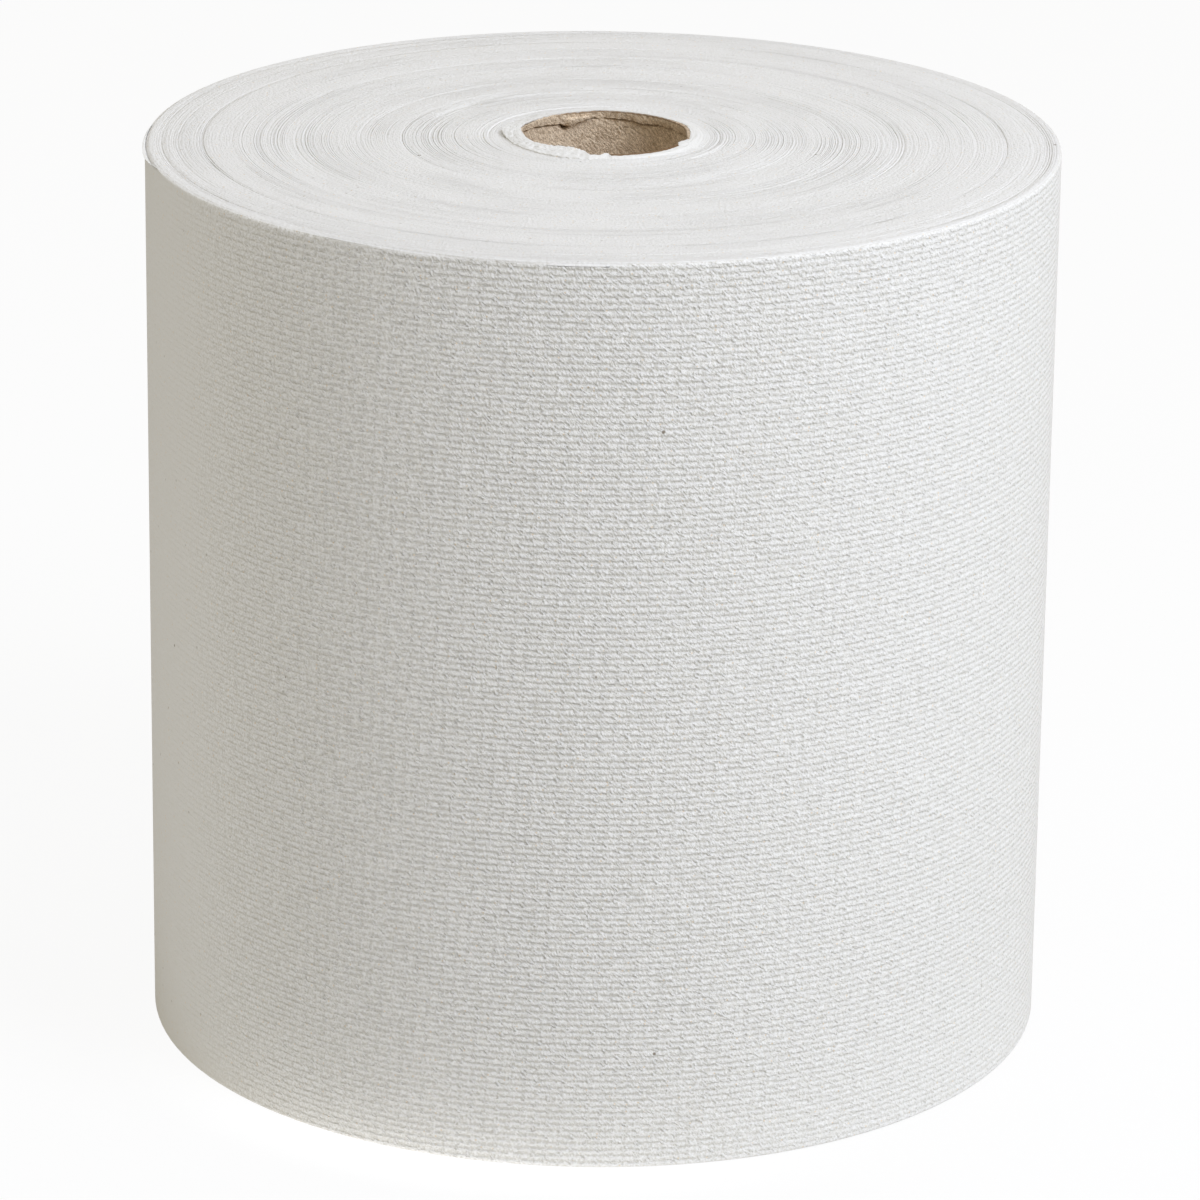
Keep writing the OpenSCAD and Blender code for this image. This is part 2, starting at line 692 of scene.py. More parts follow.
@dataclass(frozen=True)
class LoosePaper:
    """The crumpled inner turns, with fine wrinkles.

    Attributes:
        tint: colours of the paper.
        deep: depth of the relief.
        grain_scale: spots of grain in a metre.
    """

    tint: PaperTint = PaperTint(mottle_amount=0.12)
    deep: float = 0.24 * MM
    grain_scale: float = 2000.0

    def build(self) -> bpy.types.Material:
        """Makes the material.

        Returns:
            The finished material.
        """
        shader = Shader("loose_paper")
        x, y, z = shader.place()
        place = shader.vector(x, y, z)
        turn = x.atan2(y * -1.0)
        radius = (x * x + y * y).root() * (1 / MM)
        folds = shader.noise(shader.vector(turn * 9.0, radius * 0.8, z * 300.0), 1.4, 3.0)
        layers = shader.noise(shader.vector(radius * 2.0, turn * 3.0, z * 800.0), 1.0, 2.0)
        grain = shader.noise(place, self.grain_scale, 3.0) - 0.5
        shader.relief(folds * 0.6 + layers * 1.3 + grain * 0.6, self.deep)
        return self.tint.dress(shader, place)


@dataclass(frozen=True)
class KraftBoard:
    """Bare grey-brown paperboard with short fibres and a wound-in seam, with painted shade where
    the core's mesh marks it.

    Attributes:
        light: palest fibres.
        dark: darkest fibres.
        edge: the dark seam, and the painted shade on the cut upper edge, in the crease and in the
            hole of the tear.
        frayed: inner ply that a tear lays bare.
        deep: depth of the relief.
        ply: how far the seam climbs in a turn.
        seam_half: half of the seam's width, as a share of that.
        grain_scale: spots of grain in a metre.
        cloud_scale: clouds of shade in a metre.
    """

    light: tuple[float, float, float] = (0.95, 0.80, 0.615)
    dark: tuple[float, float, float] = (0.46, 0.345, 0.235)
    edge: tuple[float, float, float] = (0.20, 0.12, 0.06)
    frayed: tuple[float, float, float] = (1.0, 0.90, 0.72)
    deep: float = 0.26 * MM
    ply: float = 62 * MM
    seam_half: float = 0.006
    grain_scale: float = 3200.0
    cloud_scale: float = 240.0

    def build(self) -> bpy.types.Material:
        """Makes the material.

        Returns:
            The finished material.
        """
        shader = Shader("kraft_board")
        x, y, z = shader.place()
        turn = x.atan2(y * -1.0)
        place = shader.vector(x, y, z)
        slant = shader.vector(turn * -28.0 + z * 1500.0, z * 500.0 + turn * 9.0, 0.0)
        fibre = shader.noise(slant, 1.0, 2.0)
        grain = shader.noise(place, self.grain_scale, 2.0)
        cloud = shader.noise(place, self.cloud_scale, 2.0)
        seam = (z * (1 / self.ply) + turn * (1 / TURN)).part() - 0.5
        line = seam.bell(self.seam_half)
        shade = (fibre - 0.5) * 1.3 + (grain - 0.5) * 1.6 + (cloud - 0.5) * 0.5 + 0.5
        colour = shader.mix(shade.ease(0.0, 1.0), self.dark, self.light)
        colour = shader.mix(line * 0.5, colour, self.edge)
        # painted shade of the crease, the hole and the upper edge where the mark is positive, and
        # the pale torn ply where it is negative
        torn = shader.node("ShaderNodeAttribute", {"attribute_name": SHADE_AND_FLAP_MARK}, output="Fac")
        colour = shader.mix(torn.larger(0.0), colour, self.edge)
        colour = shader.mix((torn * -1.0).larger(0.0), colour, self.frayed)
        shader.relief(grain * 0.9 + fibre * 1.4 - line * 0.8, self.deep)
        shader.set(Base_Color=colour, Roughness=0.9, Specular_IOR_Level=0.2)
        return shader.material


# Sub-assemblies


@dataclass
class RollForm:
    """Sizes that the pieces of the web share, read from the frame.

    Attributes:
        sheet: thickness of the sheet.
        rim: radius of the soft edge between the side and the ends.
        oval: greatest departure of the side from round.
        oval_at: angle in degrees at which the side stands out most.
        clearance: gap between the core and the first turn.
        collar_width: distance from the bore to the first band of the CAD web.
        radius: radius of the side.
        width: width of the web, which is the height of its upper end.
        bore: radius of the hole in the web.
        core_top: height of the core's upper end.
        core_low: height of the core's lower end.
        core_radius: radius of the core's outside.
        skin: faces of the CAD web, to measure its ends.
    """

    sheet: float = 0.2 * MM
    rim: float = 0.9 * MM
    oval: float = 0.35 * MM
    oval_at: float = 40.0
    clearance: float = 0.05 * MM
    collar_width: float = 3.4 * MM
    radius: float = field(init=False)
    width: float = field(init=False)
    bore: float = field(init=False)
    core_top: float = field(init=False)
    core_low: float = field(init=False)
    core_radius: float = field(init=False)
    skin: BVHTree = field(init=False)

    def __post_init__(self) -> None:
        """Takes the outside and the core from the frame's nodes."""
        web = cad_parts[WEB_NODE]
        points = [web.matrix_world @ vertex.co for vertex in web.data.vertices]
        self.skin = BVHTree.FromPolygons(points, [face.vertices for face in web.data.polygons])
        low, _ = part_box(WEB_NODE)
        core_low, core_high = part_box(CORE_NODE)
        self.radius = -low[0]
        self.core_low, self.core_top = core_low[2], core_high[2]
        self.width = self.core_top - self.core_low
        self.core_radius = core_high[0]
        self.bore = self.core_radius + self.clearance

    def bulge(self, angle: np.ndarray) -> np.ndarray:
        """How far the roll stands out of round at some angles."""
        return self.oval * np.cos(2 * (angle - math.radians(self.oval_at)))

    def travel(self, angle: np.ndarray) -> np.ndarray:
        """Share of a turn from the free end at the back, through the left."""
        return (angle - math.pi / 2) / TURN

    def face(self, radius: float, top: bool) -> float:
        """Height of an end of the CAD web at one radius, at the right.

        Args:
            radius: distance from the axis.
            top: whether it is the upper end.

        Returns:
            The height.
        """
        start = 1.0 if top else -1.0
        place = self.skin.ray_cast(Vector((radius, 0.0002, start)), Vector((0, 0, -start)))[0]
        return place[2] if place else (self.width if top else 0.0)


@dataclass
class OuterTurn:
    """The outermost turn of the sheet, as one thin closed shell.

    It lies on the roll from its free end at the back through the left, the
    front and the right, and tucks in under itself. Its edges fold over the
    soft rims, apart from two places at the upper rim: at the left the edge
    flares out, and from the left to the front it stands a little apart.

    Attributes:
        form: sizes that the pieces share.
        columns: points along the turn.
        rim_rows: rows over each rim.
        fold: angle that a tight edge folds over the rim.
        tuck: length of the turn that lies under the free end, in radians.
        rib_deep: depth of the modelled ribs.
        rib_shape: height down one rib as a share of its length, with the share of the depth.
        ribbed: how deep the ribs are at each angle, as a share of rib_deep.
        lift: how far the free end stands off.
        settle: how quickly that dies away, over a turn.
        inner_half: inner half of the sheet, as a share of its thickness.
        flare: distance in millimetres that the edge stands out at the left.
        tight: share of the full fold at each angle.
        short: millimetres that the upper edge ends below the upper end.
        loose: millimetres that the upper edge stands off the turns inside.
    """

    form: RollForm
    columns: int = 145
    rim_rows: int = 7
    fold: float = math.radians(62)
    tuck: float = 0.12
    rib_deep: float = 0.03 * MM
    rib_shape: tuple[tuple[float, float], ...] = ((0, 1), (0.26, 0), (0.6, 0.12), (0.88, 0.4))
    ribbed: Stops = Stops(
        (
            (0, 0.6), (90, 0.7), (160, 0.6), (178, 0.1), (184, 0), (216, 0), (226, 0.15),
            (236, 0.9), (246, 2.2), (256, 3.0), (268, 2.4), (285, 1.4), (320, 0.8),
        )
    )
    lift: float = 0.35 * MM
    settle: float = 60.0
    inner_half: float = 0.45
    flare: Stops = Stops(
        ((0, 0), (174, 0), (181, 0.25), (186, 0.6), (190, 1.0), (193, 1.1), (195, 0.6), (196.5, 0))
    )
    tight: Stops = Stops(
        (
            (0, 1), (174, 1), (181, 0.1), (195, 0.1), (197, 1), (234, 1), (236, 0.1), (244, 0.1),
            (248, 0.4), (252, 0.25), (258, 0.1), (266, 0.05), (270, 0.1), (272, 1), (359, 1),
        )
    )
    short: Stops = Stops(
        (
            (0, 0.1), (174, 0.1), (181, 0), (196, 0), (198, 0.1), (234, 0.1), (236, 0.45),
            (244.3, 0.45), (245, 0.8), (249, 0.9), (252, 0.5), (258, 0.45), (262, 0.7),
            (266, 1.15), (270, 1.3), (271.5, 0.2), (359, 0.1),
        )
    )
    loose: Stops = Stops(
        (
            (0, 0), (180, 0), (233, 0), (238, 0.16), (243, 0.2), (246, 0.05), (256, 0.12),
            (262, 0.1), (268, 0),
        )
    )

    def build(self) -> bpy.types.Object:
        """Makes the shell and gives it the embossed paper.

        Returns:
            The piece.
        """
        form = self.form
        angle = math.pi / 2 + np.linspace(0, TURN + self.tuck, self.columns)
        outside = self.outer_rows(angle)
        inside = self.inner_rows(angle)
        points = np.concatenate([outside, inside[::-1]])
        piece = ring_mesh("outer_turn", points, joined=False)
        side = EmbossedPaper(radius=form.radius, top=form.width)
        piece.data.materials.append(side.build())
        return piece

    def seat(self, angle: np.ndarray) -> np.ndarray:
        """Radius of the middle of the sheet where it lies on the roll.

        Args:
            angle: angles of the columns.

        Returns:
            One radius for each angle.
        """
        form = self.form
        away = self.lift * np.exp(-form.travel(angle) * self.settle)
        spiral = form.sheet * form.travel(angle)
        return form.radius - form.sheet / 2 + form.bulge(angle) - spiral + away

    def edge(self, angle: np.ndarray, run: np.ndarray, top: bool) -> tuple[np.ndarray, np.ndarray]:
        """Where the last stretch of the sheet lies, over or near a rim.

        Args:
            angle: angles in radians.
            run: distance along the sheet past the start of the rim, in metres.
            top: whether it is the upper rim.

        Returns:
            How far inwards the sheet has come, and how far it has risen.
        """
        rim = self.form.rim
        tight = self.tight.at(angle) if top else np.ones_like(angle)
        out = self.flare.at(angle) * MM if top else np.zeros_like(angle)
        curl = np.maximum(tight * self.fold / rim, 1e-3)
        inwards = (1 - np.cos(curl * run)) / curl
        risen = np.sin(curl * run) / curl
        push = (run / rim) ** 2
        stand = self.loose.at(angle) * MM * run / rim if top else 0
        return inwards - out * push - stand, risen

    def skin(self, angle: np.ndarray, half: float, levels: np.ndarray) -> np.ndarray:
        """One face of the shell, from the lower edge to the upper.

        Args:
            angle: angles of the columns.
            half: half of the sheet's thickness, negative on the inner face.
            levels: heights of the rows between the two rims.

        Returns:
            Points, by rows and columns.
        """
        form, steps = self.form, self.rim_rows
        seat = self.seat(angle)
        rows = []
        for part in np.linspace(1, 0, steps, endpoint=False):
            inwards, risen = self.edge(angle, np.full_like(angle, part * form.rim), False)
            rows.append(around(seat + half - inwards, angle, form.rim - risen))
        for level in levels:
            depth = self.rib_at(level) * self.ribbed.at(angle) if half > 0 else 0.0
            rows.append(around(seat + half - depth, angle, np.full_like(angle, level)))
        limit = form.rim - self.short.at(angle) * MM
        for part in np.linspace(1 / steps, 1, steps):
            inwards, risen = self.edge(angle, part * limit, True)
            rows.append(around(seat + half - inwards, angle, form.width - form.rim + risen))
        return np.array(rows)

    def rib_at(self, level: float) -> float:
        """Depth of the modelled ribs at a height, with a groove at each row.

        Args:
            level: the height.

        Returns:
            The depth, before its change round the roll.
        """
        share = (self.form.width - level) / EmbossedPaper.pitch % 1
        nearest = min(self.rib_shape, key=lambda mark: abs(mark[0] - share + 1e-6))
        return self.rib_deep * nearest[1]

    def outer_rows(self, angle: np.ndarray) -> np.ndarray:
        """The outer face, with four rows of points on each rib.

        Args:
            angle: angles of the columns.

        Returns:
            Points, by rows and columns.
        """
        form, pitch = self.form, EmbossedPaper.pitch
        last = int((form.width - form.rim) / pitch)
        marks = [row + share for row in range(1, last) for share, _ in self.rib_shape]
        levels = np.array([form.width - mark * pitch for mark in reversed(marks)])
        return self.skin(angle, form.sheet / 2, levels[levels > form.rim])

    def inner_rows(self, angle: np.ndarray) -> np.ndarray:
        """The inner face, which is plain between the rims.

        Args:
            angle: angles of the columns.

        Returns:
            Points, by rows and columns.
        """
        form = self.form
        levels = np.array([form.rim, form.width - form.rim])
        return self.skin(angle, -form.sheet * self.inner_half, levels)


@dataclass
class WoundTurns:
    """All the turns inside the outermost one, as one closed solid.

    Both ends follow the bands of the CAD web. Finer lines between the turns
    lie on them, close together at a few radii.

    Attributes:
        form: sizes that the pieces share.
        columns: points round each row.
        rim_rows: rows over each rim.
        under: sheets between this side and the outside, next to the free end.
        groups: radius and half width in millimetres of the groups of lines.
        first_line: distance from the bore to the first line.
        last_line: distance from the last line to the rim.
        line_gap: mean distance between lines away from the groups.
        line_half: half width of a line.
        line_deep: depth of a line in a group.
        step_share: share of the CAD bands' steps that is left after the lines.
        draw_up: how far the innermost turns slope up towards the core.
        draw_width: width of that slope.
        draw_rows: rows on the slope before the first line.
        draw_gap: distance between those rows.
        evened: places in millimetres round a radius whose mean height the end follows.
        wander: how far the lines stray from round.
        wave: height of the shallow waves.
        clear: how clear the lines are at each angle, as a share of their depth.
        bulge_out: how far in millimetres the upper rim stands out.
    """

    form: RollForm
    columns: int = 240
    rim_rows: int = 7
    under: float = 1.08
    groups: tuple[tuple[float, float], ...] = (
        (97.5, 1.5), (94, 1.2), (88.6, 1.2), (82, 1.5), (73, 1.2), (65, 3.5),
        (53.3, 2.0), (41, 4.5), (27.5, 3.0),
    )
    first_line: float = 3.2 * MM
    last_line: float = 1.0 * MM
    line_gap: float = 1.7 * MM
    line_half: float = 0.16 * MM
    line_deep: float = 0.17 * MM
    step_share: float = 0.28
    draw_up: float = 0.55 * MM
    draw_width: float = 4.2 * MM
    draw_rows: int = 6
    draw_gap: float = 0.5 * MM
    evened: tuple[int, ...] = (-6, -4, -2, 0, 2, 4, 6)
    wander: float = 0.16 * MM
    wave: float = 0.02 * MM
    clear: Stops = Stops(
        (
            (0, 1), (60, 0.7), (120, 0.7), (170, 0.7), (200, 0.8), (225, 0.5), (250, 0.3),
            (290, 0.3), (320, 0.6),
        )
    )
    bulge_out: Stops = Stops(((0, 0), (262, 0), (265, 0.22), (269, 0.25), (270.5, 0), (359, 0)))

    def build(self) -> bpy.types.Object:
        """Makes the solid and gives it the finish of the cut turns.

        Returns:
            The piece.
        """
        angle = np.linspace(0, TURN, self.columns, endpoint=False)
        lines = self.lines()
        rows = self.end_rows(angle, lines[::2], False)
        rows += self.side_rows(angle)
        rows += self.end_rows(angle, lines, True)[::-1]
        piece = ring_mesh("wound_turns", np.array(rows), joined=True)
        piece.data.materials.append(CutTurns().build())
        return piece

    def outer(self, angle: np.ndarray) -> np.ndarray:
        """Radius of the side, just inside the outermost turn.

        Args:
            angle: angles of the columns.

        Returns:
            One radius for each angle.
        """
        form = self.form
        turned = np.where(angle < math.pi / 2, angle + TURN, angle)
        inside = form.sheet * (form.travel(turned) + self.under)
        return form.radius + form.bulge(angle) - inside

    def lines(self) -> list[tuple[float, float]]:
        """Radii of the lines between turns, with the depth of each.

        Returns:
            Radius and depth of each line, from the core outwards.
        """
        draw = np.random.default_rng(31)
        found, radius = [], self.form.bore + self.first_line
        limit = self.form.radius - self.form.rim - self.last_line
        while radius < limit:
            close = max(hump(radius / MM, at, half) for at, half in self.groups)
            found.append((radius, self.line_deep * (0.15 + 0.85 * close) * draw.uniform(0.4, 1.3)))
            radius += self.line_gap * (1 - 0.62 * close) * draw.uniform(0.6, 1.4)
        return found

    def end_rows(
        self, angle: np.ndarray, lines: list[tuple[float, float]], top: bool
    ) -> list[np.ndarray]:
        """Rows of one end from the bore outwards, with its soft rim.

        Args:
            angle: angles of the columns.
            lines: radius and depth of each line.
            top: whether it is the upper end.

        Returns:
            One row of points for each radius.
        """
        form = self.form
        outwards = 1.0 if top else -1.0
        rows = []
        for step in range(self.draw_rows):
            rows.append(self.end_row(angle, form.bore + step * self.draw_gap, 0.0, 1.0, top))
        for number, (radius, depth) in enumerate(lines):
            shown = 0.35 + 0.65 * ease(Ripple(100 + number // 3, 1, 5).at(angle), -0.5, 0.8)
            shown = shown * self.clear.at(angle)
            for offset, share in ((-self.line_half, 0.0), (0.0, 1.0), (self.line_half, 0.0)):
                cut = -outwards * depth * share
                rows.append(self.end_row(angle, radius + offset, cut, shown, top))
        outer = self.outer(angle)
        lip = self.bulge_out.at(angle) * MM if top else 0.0
        middle = form.width - form.rim if top else form.rim
        for lean in np.radians(np.linspace(90, 8, self.rim_rows)):
            reach = outer - form.rim + form.rim * math.cos(lean) + lip * math.cos(lean)
            rows.append(around(reach, angle, middle + outwards * form.rim * math.sin(lean)))
        return rows

    def end_row(
        self, angle: np.ndarray, radius: float, cut: float, shown: np.ndarray | float, top: bool
    ) -> np.ndarray:
        """One row of an end.

        Args:
            angle: angles of the columns.
            radius: radius of the row.
            cut: rise of the end in a line, negative where it goes down.
            shown: share of that cut at each angle.
            top: whether it is the upper end.

        Returns:
            The points of the row.
        """
        form = self.form
        near = 1 - ease(np.array(radius), form.bore, form.bore + self.draw_width)
        level = self.level(max(radius, form.bore + form.collar_width), top)
        wander = self.wander * Ripple(7, 1, 4).at(angle, 0.0)
        wave = self.wave * Ripple(9, 2, 9, along=60.0).at(angle, radius)
        height = level + near * self.draw_up + cut * shown + wave * (1 if top else 0)
        inner = ease(np.array(radius), form.bore, form.bore + 8 * MM)
        outer = 1 - ease(np.array(radius), form.radius - 8 * MM, form.radius - 2 * MM)
        return around(radius + wander * inner * outer, angle, height)

    def level(self, radius: float, top: bool) -> float:
        """Height of an end at a radius, with the steps of the bands softened.

        Args:
            radius: distance from the axis.
            top: whether it is the upper end.

        Returns:
            The height.
        """
        near = [self.form.face(radius + step * MM, top) for step in self.evened]
        even = sum(near) / len(near)
        return even + self.step_share * (self.form.face(radius, top) - even)

    def side_rows(self, angle: np.ndarray) -> list[np.ndarray]:
        """Rows up the hidden side.

        Args:
            angle: angles of the columns.

        Returns:
            One row of points for each height.
        """
        form = self.form
        outer = self.outer(angle)
        levels = (form.rim, form.width * 0.3, form.width * 0.7, form.width - form.rim)
        return [around(outer, angle, np.full_like(angle, level)) for level in levels]


@dataclass
class InnerCollar:
    """The loose inner turns that stand crumpled round the core's mouth.

    Attributes:
        form: sizes that the pieces share.
        columns: points round each row.
        steps: rows from the foot to the inner edge.
        bundle: thickness of the bundle of turns.
        jag: how ragged the foot is.
        nick: how ragged the inner edge is.
        crease: depth of the creases where the turns are loose.
        bow: how far the turns bow up between the foot and the inner edge.
        pressed: how far the foot is pressed down where the turns are tight.
        lean: how far the underside lies outside the upper face.
        foot: radius in millimetres at which the collar meets the end.
        lip: radius in millimetres of its inner edge, which hangs over the core.
        rise: height in millimetres of its inner edge above the upper end.
        flap: millimetres that the foot is lifted off the end.
    """

    form: RollForm
    columns: int = 560
    steps: int = 14
    bundle: float = 0.3 * MM
    jag: float = 0.13 * MM
    nick: float = 0.06 * MM
    crease: float = 0.25 * MM
    bow: float = 0.18 * MM
    pressed: float = 0.06 * MM
    lean: float = 0.04 * MM
    foot: Stops = Stops(
        (
            (0, 22.6), (90, 22.4), (132, 22.9), (149, 22.1), (170, 22.5), (177, 22.6),
            (186, 22.1), (196, 21.7), (226, 21.8), (247, 22.0), (259, 21.7), (270, 21.4),
            (300, 22.0), (340, 22.6),
        )
    )
    lip: Stops = Stops(
        (
            (0, 19.1), (20, 19.4), (30, 19.0), (40, 18.4), (65, 18.3), (82, 18.6), (93, 19.0),
            (104, 18.3), (126, 18.3), (147, 18.2), (160, 18.4), (171, 18.6), (190, 18.0),
            (214, 18.4), (226, 17.6), (237, 16.5), (244, 16.1), (252, 16.7), (257, 17.8),
            (261, 19.9), (268, 20.0), (270.5, 18.3), (273, 18.2), (275, 20.0), (303, 20.1),
            (317, 19.9), (327, 19.7), (331, 18.6), (338, 18.7), (343, 19.2),
        )
    )
    rise: Stops = Stops(
        (
            (0, 1.5), (20, 1.55), (40, 1.65), (150, 1.7), (171, 1.8), (200, 1.8), (244, 1.9),
            (262, 1.6), (270, 1.6), (275, 1.42), (320, 1.42), (329, 1.45), (332, 1.75), (345, 1.5),
        )
    )
    flap: Stops = Stops(
        (
            (0, 0), (120, 0), (133, 0.2), (150, 0.45), (165, 0.75), (178, 0.85), (188, 0.6),
            (200, 0.45), (215, 0.4), (250, 0.42), (259, 0.35), (263, 0.25), (272, 0.15),
            (285, 0.1), (300, 0),
        )
    )

    def build(self) -> bpy.types.Object:
        """Makes the collar as one closed skin.

        Returns:
            The piece.
        """
        form = self.form
        angle = np.linspace(0, TURN, self.columns, endpoint=False)
        foot, lip = self.foot.at(angle) * MM, self.lip.at(angle) * MM
        base = form.face(form.bore + form.collar_width, True)
        rise = form.width + self.rise.at(angle) * MM
        lifted = self.flap.at(angle) * MM
        loose = ease(self.flap.at(angle), 0.02, 0.2)
        jag = self.jag * Ripple(3, 25, 120).at(angle) * (0.4 + 0.6 * loose)
        nick = self.nick * Ripple(4, 20, 90).at(angle)
        over, under = [], []
        for share in np.linspace(0, 1, self.steps):
            radius = foot + (lip - foot) * share
            bow = math.sin(math.pi * share) * self.bow
            height = base + (rise - base) * ease(np.array(share), -0.25, 1.05) + bow
            height = height - self.pressed * (1 - share) * (1 - loose)
            height = height + lifted * (1 - share) ** 2
            fold = Ripple(21, 6, 70, along=420.0, waves=24).at(angle, radius)
            crease = (0.5 - np.abs(fold)) * self.crease * (0.15 + 0.85 * loose)
            height = height + crease * math.sin(math.pi * min(0.85, 0.15 + share))
            radius = radius + nick * share**3 + jag * (1 - share) ** 3
            over.append(around(radius, angle, height))
            under.append(around(radius + self.lean, angle, height - self.bundle))
        piece = ring_mesh("inner_collar", np.array(under[::-1] + over), joined=True)
        piece.data.materials.append(LoosePaper().build())
        return piece


@dataclass
class BoardCore:
    """The paperboard core, with the crushed lip of its upper mouth.

    Attributes:
        form: sizes that the pieces share.
        columns: points round each row.
        wall: thickness of the board.
        soft: width of the softened edges.
        ragged: how far the upper edge strays from level.
        rough: how uneven the inner wall is near its upper edge.
        notch: how deep the crease is pressed into the inner wall.
        hole_at: angle in degrees of the hole that a tear leaves.
        hole_low: depth of the hole below the upper edge.
        hole_deep: how deep the hole goes into the wall.
        flap_out: how far the torn flap stands in from the wall.
        close_rows: first, last and gap of the close rows, in millimetres below the edge.
        far_rows: millimetres below the edge of the rows beneath them.
        crease: depth in millimetres of the crease below the upper edge.
        crushed: how far in millimetres the lip above it leans inwards.
        torn: the torn flap of the inner ply, as its share of full height.
        edge_shade: how dark the painted shade is at each angle on the upper edge and just below it,
            in the gap under the paper.
        sunk: millimetres that the upper edge dips where the collar covers it.
    """

    form: RollForm
    columns: int = 420
    wall: float = 1.0 * MM
    soft: float = 0.25 * MM
    ragged: float = 0.04 * MM
    rough: float = 0.08 * MM
    notch: float = 0.35 * MM
    hole_at: float = 118.0
    hole_low: float = 3.3 * MM
    hole_deep: float = 0.8 * MM
    flap_out: float = 0.9 * MM
    close_rows: tuple[float, float, float] = (0.15, 5.2, 0.13)
    far_rows: tuple[float, ...] = (6, 7.5, 10, 15, 30, 60, 100, 140, 170, 190)
    crease: Stops = Stops(
        (
            (0, 1.6), (27, 2.2), (36, 2.1), (49, 2.0), (63, 2.5), (72, 1.9), (82, 1.8),
            (95, 1.7), (105, 1.9), (117, 3.4), (120, 2.6), (133, 2.2), (153, 1.8), (170, 1.5),
        )
    )
    crushed: Stops = Stops(
        (
            (0, 0.9), (20, 0.55), (40, 0.8), (65, 0.9), (82, 0.6), (93, 0.2), (104, 0.9),
            (126, 0.9), (147, 1.0), (166, 0.7), (178, 0.5), (190, 0.4), (230, 0.3), (262, 0.1),
            (287, 0), (303, 0.05), (317, 0.4), (332, 0.35), (347, 0.3), (355, 0.8),
        )
    )
    torn: Stops = Stops(((0, 0), (99, 0), (102, 1), (116, 1), (118.5, 0), (359, 0)))
    edge_shade: Stops = Stops(
        (
            (0, 0.25), (30, 0.25), (45, 0.6), (90, 0.4), (130, 0.1), (240, 0.1), (260, 0.9),
            (330, 1.0), (340, 0.8), (350, 0.4),
        )
    )
    sunk: Stops = Stops(
        (
            (0, 0), (130, 0), (150, 0.3), (256, 0.35), (261, 0.05), (269, 0.05), (270, 0.3),
            (274, 0.3), (275, 0), (326, 0), (329, 0.15), (337, 0.15), (341, 0),
        )
    )

    def build(self) -> bpy.types.Object:
        """Makes the tube as one closed skin.

        Returns:
            The piece.
        """
        form = self.form
        angle = np.linspace(0, TURN, self.columns, endpoint=False)
        outer, inner = form.core_radius, form.core_radius - self.wall
        low, top, soft = form.core_low, form.core_top, self.soft
        ragged = self.ragged * Ripple(5, 20, 90).at(angle) - self.sunk.at(angle) * MM
        lean = self.crushed.at(angle) * MM
        edge_shade_mark = self.edge_shade.at(angle)

        # Lower end, outside and upper edge
        rows = [
            around(np.full_like(angle, inner + soft), angle, low),
            around(np.full_like(angle, outer - soft), angle, low),
            around(np.full_like(angle, outer), angle, low + soft),
            around(np.full_like(angle, outer), angle, top - 8 * MM),
            around(np.full_like(angle, outer), angle, top - 3 * MM),
            around(outer - lean, angle, top - soft + ragged),
            around(outer - soft - lean, angle, top + ragged),
            around(inner + soft - lean, angle, top + 0.05 * MM + ragged),
        ]
        # painted shade on the cut upper edge
        marks = [np.zeros_like(angle)] * 5 + [edge_shade_mark] * 3

        # Inner wall downwards
        for depth in np.concatenate([np.arange(*self.close_rows), self.far_rows]) * MM:
            row, mark = self.inner_row(angle, inner, top, depth, ragged)
            rows.append(row)
            # painted shade on the inner wall just below the upper edge, under the paper's lip
            gap_shade = ease(edge_shade_mark, 0.12, 0.2) * (1 - ease(depth, 0.1 * MM, 0.4 * MM))
            marks.append(np.maximum(mark, gap_shade))
        rows.append(around(np.full_like(angle, inner), angle, low + soft))
        marks.append(np.zeros_like(angle))
        piece = ring_mesh("core_tube", np.array(rows), joined=True)
        layer = piece.data.attributes.new(SHADE_AND_FLAP_MARK, "FLOAT", "POINT")
        layer.data.foreach_set("value", np.array(marks).ravel().astype(np.float32))
        piece.data.materials.append(KraftBoard().build())
        return piece

    def inner_row(
        self, angle: np.ndarray, inner: float, top: float, depth: float, ragged: np.ndarray
    ) -> tuple[np.ndarray, np.ndarray]:
        """One row of the inner wall at a depth below the upper edge.

        Args:
            angle: angles of the columns.
            inner: radius of the sound inner wall.
            top: height of the upper edge.
            depth: depth of the row below it.
            ragged: how far the upper edge strays from level.

        Returns:
            The points of the row, and its mark: the strength of the painted shade in the crease
            and in the hole where positive, and the paleness of the torn flap where negative.
        """
        crease = self.crease.at(angle) * MM + 0.12 * MM * Ripple(13, 12, 60).at(angle)
        above = ease(crease - depth, -0.02 * MM, 0.16 * MM)
        crushed = self.crushed.at(angle)
        lean = crushed * MM * above * (0.75 + 0.25 * ease(crease - depth, 0, 1.5 * MM))
        folded = ease(crushed, 0.15, 0.5)
        notch = self.notch * hump(depth, crease + 0.12 * MM, 0.16 * MM) * folded
        at_hole = hump(np.degrees(angle), self.hole_at, 2.2) * hump(depth, self.hole_low, 0.45 * MM)
        flap_top = 0.9 * MM + 0.25 * MM * ease(np.degrees(angle), 101, 117)
        flap = self.torn.at(angle) * above * ease(depth, flap_top, flap_top + 0.14 * MM)
        rough = self.rough * Ripple(17, 20, 110, along=500.0, waves=28).at(angle, depth)
        rough = rough * math.exp(-depth / (6 * MM))
        radius = inner - lean + notch + at_hole * self.hole_deep - flap * self.flap_out + rough
        broken = 0.45 + 0.55 * ease(Ripple(19, 6, 40).at(angle), -0.6, 0.6)
        # painted shade along the crease, under the lip that folds over it
        mark = hump(depth, crease + 0.1 * MM, 0.13 * MM) * folded * broken * 0.8
        height = top - depth + ragged * math.exp(-depth / (0.4 * MM))
